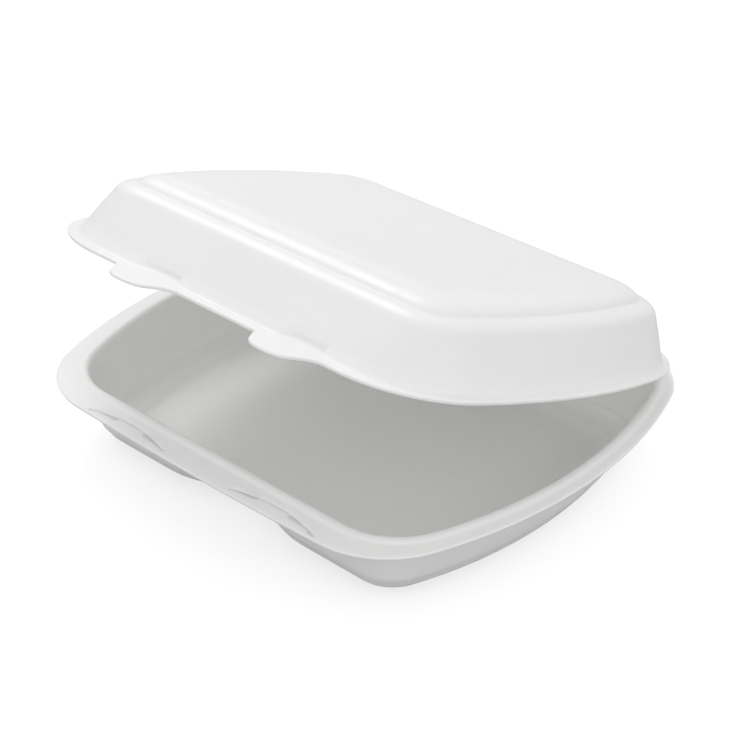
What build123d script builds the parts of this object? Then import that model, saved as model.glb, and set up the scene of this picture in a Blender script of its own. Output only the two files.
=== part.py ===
from build123d import *
import os
from math import atan2, cos, degrees, radians, sin, tan

# A hinged meal box thermoformed from one sheet of white polystyrene foam.
# The rest pose has the lid standing ajar. Millimetres, +Z up, front edge
# with the latch tongues at -Y, fold along the back edge at +Y, and the
# origin at the middle of the underside that the box stands on.

# Rim of the base
rim_width = 252.0
rim_front = -103.0
rim_back = 103.0
rim_corner = 42.0
rim_height = 36.0
rim_thickness = 1.8
rim_chamfer = 0.4
front_bow_angle = 2.0
base_end_angle = 21.0

# Raised lip that locates the lid, just inside the flat rim
lip_rise = 0.9
lip_end_margin = 5.6
lip_front_margin = 12.5
lip_back_margin = 5.6
lip_crest = 5.0

# Mouth of the tray inside the lip, as depth and inset while it rounds over
mouth_levels = ((0.0, -2.0), (0.35, -0.9), (1.3, 0.0))
mouth_foam = 2.1

# Outline of the base where its wall begins to round over into the floor
base_shoulder_depth = 27.4
base_shoulder_width = 217.0
base_shoulder_front = -82.0
base_shoulder_back = 85.0
base_shoulder_corner = 20.0

# Profiles from the end of a wall to the flat panel, as depth and inset. The base
# has a crease, a rounded bead and a second crease round its floor. The lid has a
# rounded shoulder, a groove with the convex bead after it, then the crease that
# the panel rises from.
base_profile = ((0.0, 0.0), (0.8, 1.2), (3.2, 2.1), (5.4, 3.9), (6.7, 6.4), (7.1, 8.2),
                (8.6, 10.8), (9.5, 14.5))
shoulder_profile = ((0.0, 0.0), (1.7, 1.7), (2.95, 3.85), (3.6, 6.25))
bead_profile = ((3.7, 7.85), (4.8, 8.55), (6.1, 10.1), (7.3, 12.55), (8.1, 15.75))
panel_profile = ((8.2, 17.5), (8.8, 20.5), (9.2, 24.0))
lid_profile = shoulder_profile + bead_profile + panel_profile

# The inner skin is the outer one moved in and towards the food
skin_inset = 1.4
skin_shift = 1.9

# Finger hollow pressed into the middle of the front wall
hollow_angle = 30.0
hollow_half_width_low = 35.0
hollow_half_width_high = 28.0
hollow_blend = 27.0

# Curved slits in the wide front rim that take the lid's tongues
slit_centres = (-43.0, 46.0)
slit_half_length = 24.0
slit_end_y = -99.6
slit_middle_y = -95.4
slit_gap = 1.0

# Fold between the halves and how far the lid stands open in the rest pose
hinge_y = 105.8
hinge_z = 36.6
hinge_radius = 2.0
hinge_half_length = 56.0
hinge_web = 0.9
lid_angle = 19.6

# Lid, measured in its own plane: y from the fold, z up from the fold axis
lid_shift = 2.0
lid_width = 241.5
lid_front = -206.8
lid_back = -2.3
lid_corner = 43.0
lid_back_corner = 58.0
lid_end_angle = 12.0
lid_seat = 0.6
lid_rim = 4.5
lid_foot_corner = 38.5
lid_foot_back_corner = 50.0
lid_shoulder_depth = 22.8
lid_shoulder_end_inset = 15.9
lid_shoulder_front_inset = 21.2
lid_shoulder_back_inset = 20.8
lid_shoulder_corner = 30.0
lid_shoulder_back_corner = 32.0

# Latch tongues on the lid's front rim, each drawn from its free left corner
tongue_starts = (-58.0, 30.0)
tongue_root = 38.0
tongue_free_corner = (7.0, -10.6)
tongue_front = (17.5, -13.8)
tongue_far_corner = (28.5, -10.4)
tongue_sweep = ((32.6, -3.8), (34.7, -1.1))
tongue_radii = (1.6, 6.0)

# Flat land set back into the wall behind each tongue, so that it can fold down
land_start = 9.0
land_end = 32.0
land_depth = 3.2
land_wall = 1.8
land_height = 6.0
land_corner = 3.0


class TrayOutline(BaseSketchObject):
    """Outline of one level of the sheet, bowed at the ends and round at the corners.

    Every level of a half keeps the same arc angles, so the walls that join the
    levels run smoothly into each other. The front edge is slightly bowed, has the
    finger hollow, or is straight.
    """

    def __init__(self, width, front, back, corner, back_corner, end_angle, bow_angle=0.0,
                 hollow=0.0, blend=0.0, inset=0.0, mode=Mode.ADD):
        width, front, back = width - 2 * inset, front + inset, back - inset
        corner, back_corner, blend = corner - inset, back_corner - inset, blend - inset
        end, bow = radians(end_angle), radians(bow_angle)
        rise = tan(bow / 2)
        reach = back - front - (corner + back_corner) * (1 - sin(end))
        reach -= rise * (width / 2 - corner * cos(end))
        end_radius = reach / (2 * sin(end) - rise * (1 - cos(end)))
        end_x = width / 2 - end_radius
        end_y = back - back_corner - (end_radius - back_corner) * sin(end)
        corner_x = end_x + (end_radius - corner) * cos(end)
        back_x = end_x + (end_radius - back_corner) * cos(end)
        front_y = end_y - (end_radius - corner) * sin(end)
        with BuildSketch() as outline:
            with BuildLine():
                if hollow:
                    turn = radians(hollow_angle)
                    bowl = hollow / sin(turn) - blend
                    bowl_y = front + blend - (blend + bowl) * cos(turn)
                    Line((-corner_x, front), (-hollow, front))
                    CenterArc((-hollow, front + blend), blend, -90, hollow_angle)
                    CenterArc((0, bowl_y), bowl, 90 + hollow_angle, -2 * hollow_angle)
                    CenterArc((hollow, front + blend), blend, -90 - hollow_angle, hollow_angle)
                    Line((hollow, front), (corner_x, front))
                elif bow:
                    front_radius = corner + corner_x / sin(bow)
                    CenterArc((0, front + front_radius), front_radius, -90 - bow_angle, 2 * bow_angle)
                else:
                    Line((-corner_x, front), (corner_x, front))
                sweep = 90 - end_angle
                CenterArc((corner_x, front_y), corner, -90 + bow_angle, sweep - bow_angle)
                CenterArc((end_x, end_y), end_radius, -end_angle, 2 * end_angle)
                CenterArc((back_x, back - back_corner), back_corner, end_angle, sweep)
                Line((back_x, back), (-back_x, back))
                CenterArc((-back_x, back - back_corner), back_corner, 90, sweep)
                CenterArc((-end_x, end_y), end_radius, 180 - end_angle, 2 * end_angle)
                CenterArc((-corner_x, front_y), corner, 180 + end_angle, sweep - bow_angle)
            make_face()
        super().__init__(obj=outline.sketch, mode=mode)


class LatchTongue(BaseSketchObject):
    """Half-oval tongue with a free, nearly pointed left corner and a swept right side."""

    def __init__(self, mode=Mode.ADD):
        with BuildSketch() as tongue:
            with BuildLine():
                Line((0, 0), tongue_free_corner)
                ThreePointArc(tongue_free_corner, tongue_front, tongue_far_corner)
                Line(tongue_far_corner, tongue_sweep[0])
                ThreePointArc(tongue_sweep[0], tongue_sweep[1], (tongue_root, 0))
                Line((tongue_root, 0), (0, 0))
            make_face()
            for corner, radius in zip((tongue_free_corner, tongue_far_corner), tongue_radii):
                fillet(tongue.vertices().sort_by_distance((*corner, 0))[0], radius=radius)
        super().__init__(obj=tongue.sketch, mode=mode)


def ring(part, plane, height):
    """Edges of a part that run round the sheet at one height above a plane."""
    def lies_at_height(edge):
        points = (plane.to_local_coords(edge @ along) for along in (0, 0.5, 1))
        return all(abs(point.Z - height) < 0.01 for point in points)
    return part.edges().filter_by(lies_at_height)


def move_in(outline, distance):
    """The same outline, a constant distance further in."""
    return {**outline, "inset": outline.get("inset", 0) + distance}


def soften(profile):
    """Every second level, for the back of the sheet, which the mould leaves softer."""
    return profile[::2] + profile[-1:]


def press(plane, outline, levels):
    """Conical steps that lead one outline through levels of depth and inset."""
    for (low, low_inset), (high, high_inset) in zip(levels, levels[1:]):
        with BuildSketch(plane.offset(low)) as level:
            TrayOutline(**move_in(outline, low_inset))
        slope = degrees(atan2(high_inset - low_inset, high - low))
        extrude(level.sketch, amount=high - low, taper=slope)


def press_half(plane, foot, foot_depth, shoulder, shoulder_depth, profile):
    """Wall from its foot to the shoulder, and the profile from there to the panel."""
    with BuildSketch(plane.offset(foot_depth)) as low:
        TrayOutline(**foot)
    with BuildSketch(plane.offset(shoulder_depth)) as high:
        TrayOutline(**shoulder)
    loft([low.sketch, high.sketch], ruled=True)
    press(plane.offset(shoulder_depth), shoulder, profile)


# Each half is a solid form of its outer skin, less a solid form of its inner one.
# The base is drawn from its mouth downwards.
lip_top = rim_height + lip_rise
mouth_plane = Plane(origin=(0, 0, lip_top), x_dir=(-1, 0, 0), z_dir=(0, 0, -1))
mouth = {
    "width": rim_width - 2 * (lip_end_margin + lip_crest),
    "front": rim_front + lip_front_margin + lip_crest,
    "back": rim_back - lip_back_margin - lip_crest,
    "corner": rim_corner - lip_end_margin - lip_crest,
    "back_corner": rim_corner - lip_end_margin - lip_crest,
    "end_angle": base_end_angle,
    "hollow": hollow_half_width_high,
    "blend": hollow_blend,
}
base_shoulder = {
    "width": base_shoulder_width,
    "front": base_shoulder_front,
    "back": base_shoulder_back,
    "corner": base_shoulder_corner,
    "back_corner": base_shoulder_corner,
    "end_angle": base_end_angle,
    "hollow": hollow_half_width_low,
    "blend": hollow_blend,
}

with BuildPart() as tray_hollow:
    press(mouth_plane, mouth, mouth_levels)
    press_half(mouth_plane, mouth, mouth_levels[-1][0], move_in(base_shoulder, skin_inset),
               base_shoulder_depth - skin_shift, base_profile)

with BuildPart() as base:
    press_half(mouth_plane, move_in(mouth, -mouth_foam), 0.0, base_shoulder, base_shoulder_depth,
               soften(base_profile))
    # Flat rim, wide in front, with the locating lip on it
    with BuildSketch(Plane.XY.offset(rim_height - rim_thickness)):
        TrayOutline(rim_width, rim_front, rim_back, rim_corner, rim_corner, base_end_angle,
                    bow_angle=front_bow_angle)
    extrude(amount=rim_thickness)
    chamfer(ring(base, Plane.XY, rim_height), length=rim_chamfer)
    with BuildSketch(Plane.XY.offset(rim_height)):
        TrayOutline(rim_width - 2 * lip_end_margin, rim_front + lip_front_margin,
                    rim_back - lip_back_margin, rim_corner - lip_end_margin,
                    rim_corner - lip_end_margin, base_end_angle)
    extrude(amount=lip_rise)
    chamfer(ring(base, Plane.XY, lip_top), length=rim_chamfer)
    add(tray_hollow.part, mode=Mode.SUBTRACT)
    # Curved slits cut through the front rim
    with BuildSketch(Plane.XY.offset(rim_height - rim_thickness)):
        for centre in slit_centres:
            with BuildLine(mode=Mode.PRIVATE) as slit:
                ThreePointArc((centre - slit_half_length, slit_end_y), (centre, slit_middle_y),
                              (centre + slit_half_length, slit_end_y))
            SlotArc(slit.wire(), height=slit_gap)
    extrude(amount=rim_thickness, mode=Mode.SUBTRACT)

# Lid, drawn in its own plane, which is tilted about the fold
tilt = radians(lid_angle)
lid_plane = Plane(origin=(lid_shift, hinge_y, hinge_z), x_dir=(1, 0, 0), z_dir=(0, sin(tilt), cos(tilt)))
lid_foot = {
    "width": lid_width - 2 * lid_rim,
    "front": lid_front + lid_rim,
    "back": lid_back - lid_rim,
    "corner": lid_foot_corner,
    "back_corner": lid_foot_back_corner,
    "end_angle": lid_end_angle,
}
lid_shoulder = {
    "width": lid_width - 2 * lid_shoulder_end_inset,
    "front": lid_front + lid_shoulder_front_inset,
    "back": lid_back - lid_shoulder_back_inset,
    "corner": lid_shoulder_corner,
    "back_corner": lid_shoulder_back_corner,
    "end_angle": lid_end_angle,
}

with BuildPart() as lid_hollow:
    press_half(lid_plane, move_in(lid_foot, skin_inset), lid_seat - skin_shift,
               move_in(lid_shoulder, skin_inset), lid_seat + lid_shoulder_depth - skin_shift,
               soften(lid_profile))

with BuildPart() as lid:
    press_half(lid_plane, lid_foot, lid_seat, lid_shoulder, lid_seat + lid_shoulder_depth, lid_profile)
    # Narrow rim with the two latch tongues on its front edge
    with BuildSketch(lid_plane.offset(lid_seat)):
        TrayOutline(lid_width, lid_front, lid_back, lid_corner, lid_back_corner, lid_end_angle)
        for start in tongue_starts:
            with Locations((start, lid_front)):
                LatchTongue()
    extrude(amount=rim_thickness)
    chamfer(ring(lid, lid_plane, lid_seat + rim_thickness), length=rim_chamfer)
    add(lid_hollow.part, mode=Mode.SUBTRACT)
    # Behind each tongue the wall is set back, with its foam carried on inside
    land_back = lid_foot["front"] + land_depth + land_wall
    for start in tongue_starts:
        side = lid_plane.from_local_coords((start + land_start - land_wall, 0, lid_seat))
        with BuildSketch(Plane(origin=side, x_dir=lid_plane.y_dir, z_dir=lid_plane.x_dir)):
            Polygon((lid_foot["front"] + skin_inset, 0), (land_back, 0), (land_back, land_height),
                    align=None)
        extrude(amount=land_end - land_start + 2 * land_wall)
        with BuildSketch(lid_plane.offset(lid_seat + rim_thickness)):
            with Locations((start + (land_start + land_end) / 2, lid_foot["front"])):
                RectangleRounded(land_end - land_start, 2 * land_depth, land_corner)
        extrude(amount=land_height, mode=Mode.SUBTRACT)

with BuildPart() as hinge_strip:
    # Thin pressed web that curls round the fold from the base's back edge
    with BuildSketch(Plane.YZ):
        with BuildLine(mode=Mode.PRIVATE) as curl:
            CenterArc((hinge_y, hinge_z), hinge_radius - hinge_web / 2, -90, 215)
        SlotArc(curl.wire(), height=hinge_web)
        with Locations(((rim_back + hinge_y) / 2, hinge_z - hinge_radius + hinge_web / 2)):
            Rectangle(hinge_y - rim_back, hinge_web)
    extrude(amount=hinge_half_length, both=True)

os.makedirs("parts", exist_ok=True)
base.part.label = "base"
export_step(base.part, "parts/base.step")
lid.part.label = "lid"
export_step(lid.part, "parts/lid.step")
hinge_strip.part.label = "hinge_strip"
export_step(hinge_strip.part, "parts/hinge_strip.step")
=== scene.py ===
import bpy
import bmesh
from math import cos, radians, sin
from mathutils import Matrix, Vector


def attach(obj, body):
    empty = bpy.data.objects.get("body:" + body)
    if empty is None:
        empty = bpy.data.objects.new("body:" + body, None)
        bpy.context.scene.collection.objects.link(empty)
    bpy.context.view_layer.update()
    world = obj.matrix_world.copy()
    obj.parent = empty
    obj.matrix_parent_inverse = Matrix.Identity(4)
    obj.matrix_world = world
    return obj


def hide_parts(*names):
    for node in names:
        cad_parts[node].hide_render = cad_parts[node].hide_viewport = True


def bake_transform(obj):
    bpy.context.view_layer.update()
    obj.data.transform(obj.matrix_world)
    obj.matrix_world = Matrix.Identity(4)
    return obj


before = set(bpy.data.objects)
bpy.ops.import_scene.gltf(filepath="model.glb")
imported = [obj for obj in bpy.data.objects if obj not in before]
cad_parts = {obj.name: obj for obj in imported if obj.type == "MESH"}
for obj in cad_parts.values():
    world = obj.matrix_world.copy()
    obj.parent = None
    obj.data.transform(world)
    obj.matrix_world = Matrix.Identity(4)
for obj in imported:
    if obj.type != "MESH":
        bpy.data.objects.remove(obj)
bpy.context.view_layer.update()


# ---- Camera
# The photograph looks down on the box's front right corner, with a long lens.
camera_place = Vector((0.5160, -0.5224, 0.4837))
camera_azimuth, camera_elevation, camera_roll = radians(44.2), radians(31.4), radians(-0.99)
camera_lens = 93.6

back = Vector((sin(camera_azimuth) * cos(camera_elevation),
               -cos(camera_azimuth) * cos(camera_elevation),
               sin(camera_elevation)))
level_right = Vector((cos(camera_azimuth), sin(camera_azimuth), 0.0))
level_up = back.cross(level_right)
right = level_right * cos(camera_roll) + level_up * sin(camera_roll)
up = level_up * cos(camera_roll) - level_right * sin(camera_roll)
camera_data = bpy.data.cameras.new("camera")
camera_data.lens = camera_lens
camera_data.clip_start, camera_data.clip_end = 0.05, 20.0
camera = bpy.data.objects.new("camera", camera_data)
camera.matrix_world = Matrix((
    (right.x, up.x, back.x, camera_place.x),
    (right.y, up.y, back.y, camera_place.y),
    (right.z, up.z, back.z, camera_place.z),
    (0.0, 0.0, 0.0, 1.0)))
bpy.context.scene.collection.objects.link(camera)
bpy.context.scene.camera = camera


# ---- Foam sheet
# Both halves are pressed from one sheet of white polystyrene foam. Its skin is
# satin, slightly pearly and mottled by the flattened cells just under it.
foam_white = (0.965, 0.961, 0.948, 1.0)
foam_shade = (0.940, 0.935, 0.918, 1.0)
# Slightly whiter, cooler colour given to the rings at the rims and tongues
rim_white = (0.970, 0.968, 0.965, 1.0)
cell_size = 0.0011
patch_size = 0.009
wave_size = 0.045


def group_socket(group, name, kind, in_out, value=None):
    """Adds an input or output to a node group."""
    socket = group.interface.new_socket(name=name, in_out=in_out, socket_type=kind)
    if value is not None:
        socket.default_value = value


def node(tree, kind, **settings):
    """Adds a node with its settings to a node tree."""
    made = tree.nodes.new(kind)
    for name, value in settings.items():
        setattr(made, name, value)
    return made


cells = bpy.data.node_groups.new("foam_cells", "ShaderNodeTree")
group_socket(cells, "Vector", "NodeSocketVector", "INPUT")
group_socket(cells, "Cell size", "NodeSocketFloat", "INPUT", cell_size)
group_socket(cells, "Cells", "NodeSocketFloat", "OUTPUT")
group_socket(cells, "Patches", "NodeSocketFloat", "OUTPUT")
group_socket(cells, "Height", "NodeSocketFloat", "OUTPUT")
inlet = node(cells, "NodeGroupInput")
outlet = node(cells, "NodeGroupOutput")
per_cell = node(cells, "ShaderNodeMath", operation="DIVIDE")
per_cell.inputs[0].default_value = 1.0
cells.links.new(inlet.outputs["Cell size"], per_cell.inputs[1])
# Flattened cells, as soft dimples with thin walls between them
cell_pattern = node(cells, "ShaderNodeTexVoronoi", feature="SMOOTH_F1")
cell_pattern.inputs["Smoothness"].default_value = 0.6
cell_pattern.inputs["Randomness"].default_value = 1.0
cells.links.new(inlet.outputs["Vector"], cell_pattern.inputs["Vector"])
cells.links.new(per_cell.outputs[0], cell_pattern.inputs["Scale"])
# Cells crowd and thin out in patches
patch = node(cells, "ShaderNodeTexNoise")
patch.inputs["Scale"].default_value = 1.0 / patch_size
patch.inputs["Detail"].default_value = 3.0
patch.inputs["Roughness"].default_value = 0.55
cells.links.new(inlet.outputs["Vector"], patch.inputs["Vector"])
grain = node(cells, "ShaderNodeTexNoise")
grain.inputs["Detail"].default_value = 4.0
grain.inputs["Roughness"].default_value = 0.6
cells.links.new(inlet.outputs["Vector"], grain.inputs["Vector"])
cells.links.new(per_cell.outputs[0], grain.inputs["Scale"])
# The skin itself undulates a little over some centimetres
wave = node(cells, "ShaderNodeTexNoise")
wave.inputs["Scale"].default_value = 1.0 / wave_size
wave.inputs["Detail"].default_value = 1.0
cells.links.new(inlet.outputs["Vector"], wave.inputs["Vector"])
mottle = node(cells, "ShaderNodeMath", operation="MULTIPLY")
cells.links.new(cell_pattern.outputs["Distance"], mottle.inputs[0])
cells.links.new(grain.outputs["Fac"], mottle.inputs[1])
rise = node(cells, "ShaderNodeMath", operation="MULTIPLY_ADD")
rise.inputs[1].default_value = 6.0
cells.links.new(wave.outputs["Fac"], rise.inputs[0])
cells.links.new(mottle.outputs[0], rise.inputs[2])
cells.links.new(mottle.outputs[0], outlet.inputs["Cells"])
cells.links.new(patch.outputs["Fac"], outlet.inputs["Patches"])
cells.links.new(rise.outputs[0], outlet.inputs["Height"])


def foam_material(name, cell, bump_strength, roughness, light_depth):
    """White foam with its own cell size, relief, skin gloss and depth that light reaches."""
    material = bpy.data.materials.new(name)
    material.use_nodes = True
    tree = material.node_tree
    skin = tree.nodes["Principled BSDF"]
    skin.inputs["IOR"].default_value = 1.45
    skin.inputs["Specular IOR Level"].default_value = 0.50
    skin.inputs["Subsurface Weight"].default_value = 0.55
    skin.inputs["Subsurface Radius"].default_value = (1.0, 0.98, 0.90)
    skin.inputs["Subsurface Scale"].default_value = light_depth
    place = node(tree, "ShaderNodeTexCoord")
    pattern = node(tree, "ShaderNodeGroup", node_tree=cells)
    pattern.inputs["Cell size"].default_value = cell
    tree.links.new(place.outputs["Object"], pattern.inputs["Vector"])
    tone = node(tree, "ShaderNodeMapRange")
    tone.inputs["From Min"].default_value = 0.05
    tone.inputs["From Max"].default_value = 0.45
    tree.links.new(pattern.outputs["Cells"], tone.inputs["Value"])
    colour = node(tree, "ShaderNodeMix", data_type="RGBA")
    colour.inputs["A"].default_value = foam_white
    colour.inputs["B"].default_value = foam_shade
    strength = node(tree, "ShaderNodeMath", operation="MULTIPLY")
    tree.links.new(tone.outputs["Result"], strength.inputs[0])
    tree.links.new(pattern.outputs["Patches"], strength.inputs[1])
    tree.links.new(strength.outputs[0], colour.inputs["Factor"])
    # The rings at the rims and tongues get a slightly whiter, cooler colour than the rest of the sheet
    rim_attribute = node(tree, "ShaderNodeAttribute", attribute_name="rim_mask")
    whiter = node(tree, "ShaderNodeMix", data_type="RGBA")
    whiter.inputs["B"].default_value = rim_white
    tree.links.new(rim_attribute.outputs["Fac"], whiter.inputs["Factor"])
    tree.links.new(colour.outputs["Result"], whiter.inputs["A"])
    tree.links.new(whiter.outputs["Result"], skin.inputs["Base Color"])
    gloss = node(tree, "ShaderNodeMapRange")
    gloss.inputs["From Min"].default_value = 0.3
    gloss.inputs["From Max"].default_value = 0.7
    gloss.inputs["To Min"].default_value = roughness - 0.06
    gloss.inputs["To Max"].default_value = roughness + 0.08
    tree.links.new(pattern.outputs["Patches"], gloss.inputs["Value"])
    tree.links.new(gloss.outputs["Result"], skin.inputs["Roughness"])
    relief = node(tree, "ShaderNodeBump")
    relief.inputs["Strength"].default_value = bump_strength
    relief.inputs["Distance"].default_value = 0.00012
    tree.links.new(pattern.outputs["Height"], relief.inputs["Height"])
    tree.links.new(relief.outputs["Normal"], skin.inputs["Normal"])
    return material


# ---- Base
# Shallow tray, drawn down into the heated sheet so that rim, lip, walls and floor
# are one skin. A broad finger hollow swells in under the wide front rim, and two
# curved slits in that rim take the lid's tongues.
mm = 0.001
sheet = 1.7 * mm
base_rim = {"width": 252.0, "front": -103.0, "back": 103.0, "corner": 42.0, "back_corner": 42.0,
            "end_angle": 21.0, "bow_angle": 2.0}
base_lip = {"width": 240.8, "front": -90.5, "back": 97.4, "corner": 36.4, "back_corner": 36.4,
            "end_angle": 21.0, "bow_angle": 0.0}
base_mouth = {"width": 230.8, "front": -85.5, "back": 92.4, "corner": 31.4, "back_corner": 31.4,
              "end_angle": 21.0, "bow_angle": 0.0}
base_shoulder = {"width": 214.2, "front": -80.6, "back": 83.6, "corner": 19.0, "back_corner": 19.0,
                 "end_angle": 21.0, "bow_angle": 0.0}
rim_top, lip_top, wall_foot = 36.0, 36.9, 11.4
floor_steps = ((0.0, 0.0), (0.5, 0.9), (0.9, 1.5), (2.0, 1.9), (3.4, 2.4), (5.0, 3.6), (6.1, 5.3),
               (6.7, 7.2), (6.95, 8.3), (7.25, 8.8), (8.2, 10.3), (9.0, 12.2), (9.4, 14.4), (9.5, 17.0))
hollow_reach = 41.0
hollow_depth = 9.2
slit_centres = (-43.0, 46.0)
slit_half_length, slit_half_width, slit_curve, slit_y = 24.0, 0.1, 4.2, -95.4
blade_foot, blade_height = 33.0, 5.0
middle_shares = (0.85, 0.55, 0.25)
hollow_share = 0.88
corner_steps, end_steps = 12, 16


def arc_points(middle, radius, start, sweep, count):
    """Points along an arc, without its last one."""
    angles = [radians(start + sweep * step / count) for step in range(count)]
    return [(middle[0] + radius * cos(angle), middle[1] + radius * sin(angle)) for angle in angles]


def ring_points(outline, front_places):
    """One closed ring of the sheet, from the front's left end round by the right."""
    corner, back_corner = outline["corner"], outline["back_corner"]
    end, bow = radians(outline["end_angle"]), radians(outline["bow_angle"])
    rise = sin(bow / 2) / cos(bow / 2)
    half, front, back_y = outline["width"] / 2, outline["front"], outline["back"]
    reach = back_y - front - (corner + back_corner) * (1 - sin(end)) - rise * (half - corner * cos(end))
    end_radius = reach / (2 * sin(end) - rise * (1 - cos(end)))
    end_x = half - end_radius
    end_y = back_y - back_corner - (end_radius - back_corner) * sin(end)
    corner_x = end_x + (end_radius - corner) * cos(end)
    corner_y = end_y - (end_radius - corner) * sin(end)
    back_x = end_x + (end_radius - back_corner) * cos(end)
    sweep = 90 - outline["end_angle"]
    points = [(corner_x * place, front + rise * corner_x * place ** 2) for place in front_places]
    points += arc_points((corner_x, corner_y), corner, -90, sweep, corner_steps)
    points += arc_points((end_x, end_y), end_radius, -outline["end_angle"],
                         2 * outline["end_angle"], end_steps)
    points += arc_points((back_x, back_y - back_corner), back_corner, outline["end_angle"], sweep,
                         corner_steps)
    points += [(-back_x * place, back_y) for place in front_places]
    points += arc_points((-back_x, back_y - back_corner), back_corner, 90, sweep, corner_steps)
    points += arc_points((-end_x, end_y), end_radius, 180 - outline["end_angle"],
                         2 * outline["end_angle"], end_steps)
    points += arc_points((-corner_x, corner_y), corner, 180 + outline["end_angle"], sweep,
                         corner_steps)
    return points


def between(low, high, share):
    """Outline part of the way from one to another."""
    return {name: low[name] + (high[name] - low[name]) * share for name in low}


def shrunk(ring, share):
    """Ring drawn together towards its own middle, in its own plane."""
    middle = sum(ring, Vector()) / len(ring)
    return [middle + (place - middle) * share for place in ring]


def drawn_in(outline, inset, corner_share=1.0, least_corner=5.0):
    """Outline moved in, with its corners growing tighter."""
    moved = dict(outline)
    moved["width"] -= 2 * inset
    moved["front"] += inset
    moved["back"] -= inset
    for name in ("corner", "back_corner"):
        moved[name] = max(moved[name] - inset * corner_share, least_corner)
    return moved


def press_sheet(name, rings, thickness, rim_rings):
    """Skin through rings of points from the rim to the middle, given the sheet's thickness."""
    skin = bmesh.new()
    rim_mask = skin.verts.layers.float.new("rim_mask")
    around, inward = len(rings[0]), len(rings) - 1
    bmesh.ops.create_grid(skin, x_segments=around, y_segments=inward, size=1.0)
    grid = {}
    for vert in skin.verts:
        step = round((vert.co.x + 1) / 2 * around)
        row = round((vert.co.y + 1) / 2 * inward)
        vert.co = rings[row][step % around]
        # The outer rings are marked for the slightly whiter rim colour
        vert[rim_mask] = 1.0 if row < rim_rings else 0.0
        grid[row, step] = vert
    bmesh.ops.weld_verts(skin, targetmap={grid[row, around]: grid[row, 0] for row in range(inward + 1)})
    last = {grid[inward, step] for step in range(around)}
    bmesh.ops.contextual_create(skin, geom=[edge for edge in skin.edges
                                            if edge.verts[0] in last and edge.verts[1] in last])
    # Rungs across the flat middle, from front to back
    left = around - corner_steps - end_steps // 2
    for step in range(end_steps // 2, around // 2 - end_steps // 2 + 1):
        bmesh.ops.connect_verts(skin, verts=[grid[inward, (left + step) % around],
                                             grid[inward, (left - step) % around]])
    bmesh.ops.recalc_face_normals(skin, faces=skin.faces)
    if sum(face.normal.z * face.calc_area() for face in skin.faces) < 0:
        bmesh.ops.reverse_faces(skin, faces=skin.faces)
    mesh = bpy.data.meshes.new(name)
    skin.to_mesh(mesh)
    skin.free()
    half = bpy.data.objects.new(name, mesh)
    bpy.context.scene.collection.objects.link(half)
    wall = half.modifiers.new("sheet", "SOLIDIFY")
    wall.thickness = thickness
    wall.offset = -1.0
    wall.use_even_offset = True
    soft = half.modifiers.new("soft", "SUBSURF")
    soft.levels = soft.render_levels = 1
    return half


def settle(half):
    """Turns the modifiers into the half's own smooth mesh."""
    bpy.context.view_layer.update()
    seen = half.evaluated_get(bpy.context.evaluated_depsgraph_get())
    done = bpy.data.meshes.new_from_object(seen)
    old = half.data
    half.modifiers.clear()
    half.data = done
    done.name = half.name
    bpy.data.meshes.remove(old)
    done.polygons.foreach_set("use_smooth", [True] * len(done.polygons))
    return half


def swell(x, reach):
    """Soft bump along the front wall."""
    if abs(x) >= reach:
        return 0.0
    return cos(radians(90 * x / reach)) ** 2


front_steps = 40
base_places = [-1 + 2 * step / front_steps for step in range(front_steps)]


def base_ring(outline, height, hollow=0.0):
    """Ring of the base at one height, with its front pushed in by the finger hollow."""
    ring = []
    for x, y in ring_points(outline, base_places):
        if y < 0:
            y += hollow * swell(x, hollow_reach)
        ring.append(Vector((x * mm, y * mm, height * mm)))
    return ring


base_rings = [
    base_ring(base_rim, rim_top - 0.25),
    base_ring(drawn_in(base_rim, 0.5), rim_top),
    base_ring(drawn_in(base_rim, 2.2), rim_top),
    base_ring(drawn_in(base_lip, -1.4), rim_top),
    base_ring(drawn_in(base_lip, -0.4), rim_top + 0.1),
    base_ring(drawn_in(base_lip, 0.7), lip_top),
    base_ring(drawn_in(base_mouth, -2.4), lip_top),
    base_ring(drawn_in(base_mouth, -1.0), lip_top - 0.25),
    base_ring(base_mouth, lip_top - 1.4, 0.1),
    base_ring(between(base_mouth, base_shoulder, 0.07), 33.8, 0.6),
    base_ring(between(base_mouth, base_shoulder, 0.20), 30.5, 3.4),
    base_ring(between(base_mouth, base_shoulder, 0.36), 26.6, hollow_depth * 0.74),
    base_ring(between(base_mouth, base_shoulder, 0.58), 21.4, hollow_depth * 0.95),
    base_ring(between(base_mouth, base_shoulder, 0.80), 16.2, hollow_depth)]
base_rings += [base_ring(drawn_in(base_shoulder, inset, 0.6), wall_foot - depth, hollow_depth)
               for depth, inset in floor_steps]
last_depth, last_inset = floor_steps[-1]
floor_middle = base_ring(drawn_in(base_shoulder, last_inset, 0.6), wall_foot - last_depth)
base_rings += [shrunk(base_rings[-1], hollow_share)]
base_rings += [shrunk(floor_middle, share) for share in middle_shares[1:]]
base_shell = settle(press_sheet("base_shell", base_rings, sheet, 8))

# Both slits are cut by thin curved blades
blades = bmesh.new()
for centre in slit_centres:
    strip = bmesh.ops.create_grid(blades, x_segments=16, y_segments=1, size=1.0)["verts"]
    for vert in strip:
        along, side = vert.co.x, vert.co.y
        vert.co = ((centre + slit_half_length * along) * mm,
                   (slit_y - slit_curve * along ** 2 + slit_half_width * side) * mm,
                   blade_foot * mm)
walls = bmesh.ops.extrude_face_region(blades, geom=blades.faces[:])["geom"]
bmesh.ops.translate(blades, verts=[part for part in walls if isinstance(part, bmesh.types.BMVert)],
                    vec=(0.0, 0.0, blade_height * mm))
bmesh.ops.recalc_face_normals(blades, faces=blades.faces)
blade_mesh = bpy.data.meshes.new("slit_blades")
blades.to_mesh(blade_mesh)
blades.free()
slit_blades = bpy.data.objects.new("slit_blades", blade_mesh)
bpy.context.scene.collection.objects.link(slit_blades)
cut = base_shell.modifiers.new("slits", "BOOLEAN")
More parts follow.
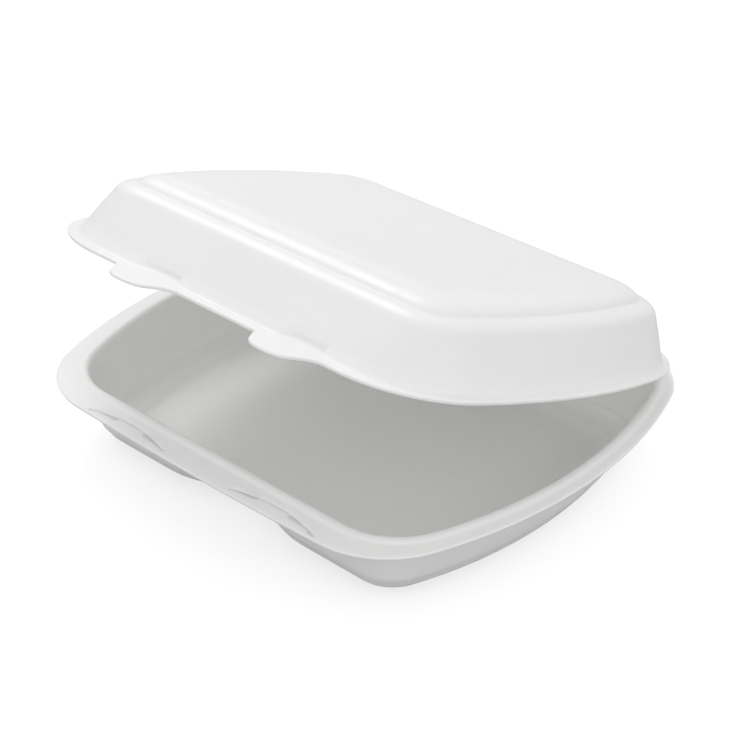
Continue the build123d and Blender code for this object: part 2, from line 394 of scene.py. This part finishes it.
cut.operation, cut.solver, cut.object = "DIFFERENCE", "EXACT", slit_blades
settle(base_shell)
bpy.data.objects.remove(slit_blades)
bpy.data.meshes.remove(blade_mesh)

base_foam = foam_material("base_foam", cell_size, 0.30, 0.40, 2.0 * mm)
base_shell.data.materials.clear()
base_shell.data.materials.append(base_foam)
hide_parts("base")
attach(base_shell, "base")


# ---- Lid
# Domed cover, drawn upwards from the same sheet: narrow rim, wall, rounded shoulder,
# a groove with a convex bead after it, and a flat panel. Two tongues stand out from
# the front rim, each with a flat land set back into the wall behind it.
lid_angle, lid_shift = radians(19.6), 2.0
hinge_y, hinge_z = 105.8, 36.6
lid_edge = {"width": 241.5, "front": -206.8, "back": -2.3, "corner": 43.0, "back_corner": 58.0,
            "end_angle": 12.0, "bow_angle": 0.0}
lid_foot = {"width": 232.5, "front": -202.3, "back": -6.8, "corner": 38.5, "back_corner": 50.0,
            "end_angle": 12.0, "bow_angle": 0.0}
lid_shoulder = {"width": 209.7, "front": -185.6, "back": -23.1, "corner": 21.0, "back_corner": 24.0,
                "end_angle": 12.0, "bow_angle": 0.0}
lid_seat, lid_rim_top, wall_height, shoulder_height = 0.6, 2.4, 22.8, 23.4
panel_steps = ((0.0, 0.0), (0.9, 0.8), (1.9, 2.0), (2.8, 3.7), (3.35, 5.4), (3.6, 6.6), (3.66, 7.4),
               (3.95, 7.95), (4.7, 8.45), (5.6, 9.3), (6.6, 10.9), (7.4, 12.9), (7.9, 15.2),
               (8.02, 16.7), (8.2, 17.6), (8.7, 19.4), (9.1, 22.0), (9.2, 25.0))
tongue_starts = (-58.0, 30.0)
tongue_profile = ((0.0, 0.0), (1.2, 2.6), (3.4, 5.6), (5.6, 8.6), (6.8, 10.4), (9.0, 12.0), (12.5, 13.3),
                  (17.5, 13.8), (22.5, 13.2), (26.5, 11.8), (28.8, 10.0), (30.6, 7.2), (32.4, 4.2),
                  (34.6, 1.3), (38.0, 0.0))
land_first, land_last, land_depth = 8.0, 33.0, 3.0

# Places along the front edge, close together where a tongue starts and ends
lid_half_front = 77.3
lid_marks = [-77.3, -73.3, -69.3, -65.3, -61.3, -59.2, -18.5, -14.0, -8.0, -2.0, 4.0, 10.0, 16.0,
             22.0, 27.0, 28.8, 69.5, 72.0, 75.0]
for start in tongue_starts:
    lid_marks += [start + along for along, out in tongue_profile]
lid_marks = sorted(mark for mark in lid_marks if mark < lid_half_front)
lid_places = [mark / lid_half_front for mark in lid_marks]


def tongue_out(x):
    """How far the front edge stands out at one place along it."""
    for start in tongue_starts:
        for (near, near_out), (far, far_out) in zip(tongue_profile, tongue_profile[1:]):
            if near <= x - start <= far:
                return near_out + (far_out - near_out) * (x - start - near) / (far - near)
    return 0.0


def land_in(x):
    """How far the wall is set back behind a tongue at one place along it."""
    for start in tongue_starts:
        inner = min(x - start - land_first, start + land_last - x)
        if inner > 0:
            return land_depth * min(inner / 2.0, 1.0)
    return 0.0


def lid_ring(outline, height, tongue=0.0, land=0.0):
    """Ring of the lid at one height over the fold's plane, in its open place."""
    ring = []
    for step, (x, y) in enumerate(ring_points(outline, lid_places)):
        if step < len(lid_places):
            mark = lid_marks[step]
            y += land * land_in(mark) - tongue * tongue_out(mark)
        ring.append(Vector(((x + lid_shift) * mm,
                            (hinge_y + y * cos(lid_angle) + height * sin(lid_angle)) * mm,
                            (hinge_z - y * sin(lid_angle) + height * cos(lid_angle)) * mm)))
    return ring


lid_rings = [
    lid_ring(lid_edge, lid_rim_top - 0.25, 1.0),
    lid_ring(drawn_in(lid_edge, 0.5), lid_rim_top, 0.96),
    lid_ring(drawn_in(lid_edge, 1.6), lid_rim_top, 0.80),
    lid_ring(drawn_in(lid_edge, 3.4), lid_rim_top, 0.10),
    lid_ring(drawn_in(lid_foot, 0.5), lid_rim_top + 0.15, 0.0, 0.9),
    lid_ring(between(lid_foot, lid_shoulder, 0.10), lid_rim_top + 1.3, 0.0, 1.0),
    lid_ring(between(lid_foot, lid_shoulder, 0.18), lid_rim_top + 3.1, 0.0, 0.75),
    lid_ring(between(lid_foot, lid_shoulder, 0.25), lid_rim_top + 4.2),
    lid_ring(between(lid_foot, lid_shoulder, 0.45), lid_seat + wall_height * 0.45 + 1.0),
    lid_ring(between(lid_foot, lid_shoulder, 0.72), lid_seat + wall_height * 0.72 + 0.5),
    lid_ring(between(lid_foot, lid_shoulder, 0.93), lid_seat + wall_height * 0.93)]
lid_rings += [lid_ring(drawn_in(lid_shoulder, inset, 0.75, 6.0), shoulder_height + depth)
              for depth, inset in panel_steps]
panel_edge = lid_rings[-1]
lid_rings += [shrunk(panel_edge, share) for share in middle_shares]
lid_shell = settle(press_sheet("lid_shell", lid_rings, sheet, 6))
lid_foam = foam_material("lid_foam", cell_size, 0.28, 0.36, 5.0 * mm)
lid_shell.data.materials.append(lid_foam)
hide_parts("lid")
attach(lid_shell, "lid")


# ---- Fold
# Thin pressed web of the same sheet. It joins the back edges of the two halves
# in one fixed curl, shaped for the lid's open place.
fold_foam = foam_material("fold_foam", cell_size * 0.7, 0.3, 0.40, 1.0 * mm)
fold_sheet = 0.6 * mm
fold_half_length = 55.0
fold_curl = ((101.6, 35.0), (103.2, 35.0), (104.8, 34.9), (106.2, 35.0), (107.1, 35.8), (107.3, 36.9),
             (106.8, 38.0), (105.6, 38.8), (104.0, 39.2), (102.4, 39.5))
web = bmesh.new()
bmesh.ops.create_grid(web, x_segments=28, y_segments=len(fold_curl) - 1, size=1.0)
for vert in web.verts:
    step = round((vert.co.y + 1) / 2 * (len(fold_curl) - 1))
    y, z = fold_curl[step]
    vert.co = (fold_half_length * vert.co.x * mm, y * mm, z * mm)
bmesh.ops.recalc_face_normals(web, faces=web.faces)
fold_mesh = bpy.data.meshes.new("fold_web")
web.to_mesh(fold_mesh)
web.free()
fold_web = bpy.data.objects.new("fold_web", fold_mesh)
bpy.context.scene.collection.objects.link(fold_web)
fold_wall = fold_web.modifiers.new("sheet", "SOLIDIFY")
fold_wall.thickness, fold_wall.offset = fold_sheet, -1.0
fold_round = fold_web.modifiers.new("soft", "SUBSURF")
fold_round.levels = fold_round.render_levels = 1
settle(fold_web)
fold_web.data.materials.append(fold_foam)
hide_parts("hinge_strip")
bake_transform(fold_web)


# ---- Floor and light
floor_reach = 3.0
floor_colour = (0.52, 0.52, 0.52, 1.0)
plate = bmesh.new()
bmesh.ops.create_grid(plate, x_segments=1, y_segments=1, size=floor_reach)
floor_mesh = bpy.data.meshes.new("floor")
plate.to_mesh(floor_mesh)
plate.free()
floor = bpy.data.objects.new("floor", floor_mesh)
bpy.context.scene.collection.objects.link(floor)
floor_paint = bpy.data.materials.new("floor_paint")
floor_paint.use_nodes = True
floor_tree = floor_paint.node_tree
floor_skin = floor_tree.nodes["Principled BSDF"]
floor_skin.inputs["Base Color"].default_value = floor_colour
floor_skin.inputs["Roughness"].default_value = 0.9
floor_skin.inputs["Specular IOR Level"].default_value = 0.0
floor_glow = node(floor_tree, "ShaderNodeEmission")
floor_seen = node(floor_tree, "ShaderNodeLightPath")
floor_lift = node(floor_tree, "ShaderNodeMath", operation="MULTIPLY")
floor_lift.inputs[1].default_value = 0.64
floor_sum = node(floor_tree, "ShaderNodeAddShader")
floor_tree.links.new(floor_seen.outputs["Is Camera Ray"], floor_lift.inputs[0])
floor_tree.links.new(floor_lift.outputs[0], floor_glow.inputs["Strength"])
floor_tree.links.new(floor_skin.outputs[0], floor_sum.inputs[0])
floor_tree.links.new(floor_glow.outputs[0], floor_sum.inputs[1])
floor_tree.links.new(floor_sum.outputs[0], floor_tree.nodes["Material Output"].inputs["Surface"])
floor_mesh.materials.append(floor_paint)

world = bpy.data.worlds.new("studio")
bpy.context.scene.world = world
world.use_nodes = True
sky = world.node_tree.nodes["Background"]
sky.inputs["Color"].default_value = (1.0, 1.0, 1.0, 1.0)
# The studio is a little brighter on the camera's side
sky_place = node(world.node_tree, "ShaderNodeTexCoord")
sky_turn = node(world.node_tree, "ShaderNodeVectorMath", operation="DOT_PRODUCT")
sky_turn.inputs[1].default_value = (0.64, -0.66, 0.39)
sky_level = node(world.node_tree, "ShaderNodeMapRange", interpolation_type="SMOOTHSTEP")
sky_level.inputs["From Min"].default_value = 0.0
sky_level.inputs["From Max"].default_value = 0.95
sky_level.inputs["To Min"].default_value = 0.75
sky_level.inputs["To Max"].default_value = 0.94
world.node_tree.links.new(sky_place.outputs["Generated"], sky_turn.inputs[0])
world.node_tree.links.new(sky_turn.outputs["Value"], sky_level.inputs["Value"])
world.node_tree.links.new(sky_level.outputs["Result"], sky.inputs["Strength"])


def softbox(name, place, target, width, height, watts):
    """Rectangular lamp that faces a point."""
    light = bpy.data.lights.new(name, "AREA")
    light.shape = "RECTANGLE"
    light.size, light.size_y = width, height
    light.energy = watts
    lamp = bpy.data.objects.new(name, light)
    lamp.location = place
    lamp.rotation_euler = (Vector(target) - Vector(place)).to_track_quat("-Z", "Y").to_euler()
    bpy.context.scene.collection.objects.link(lamp)
    return lamp


middle = (0.0, 0.0, 0.06)
softbox("key_box", (-0.78, 0.48, 0.98), middle, 0.5, 0.5, 3.6)
softbox("side_box", (0.90, 0.15, 0.55), middle, 0.8, 0.4, 0.5)

scene = bpy.context.scene
scene.view_settings.view_transform = "Standard"
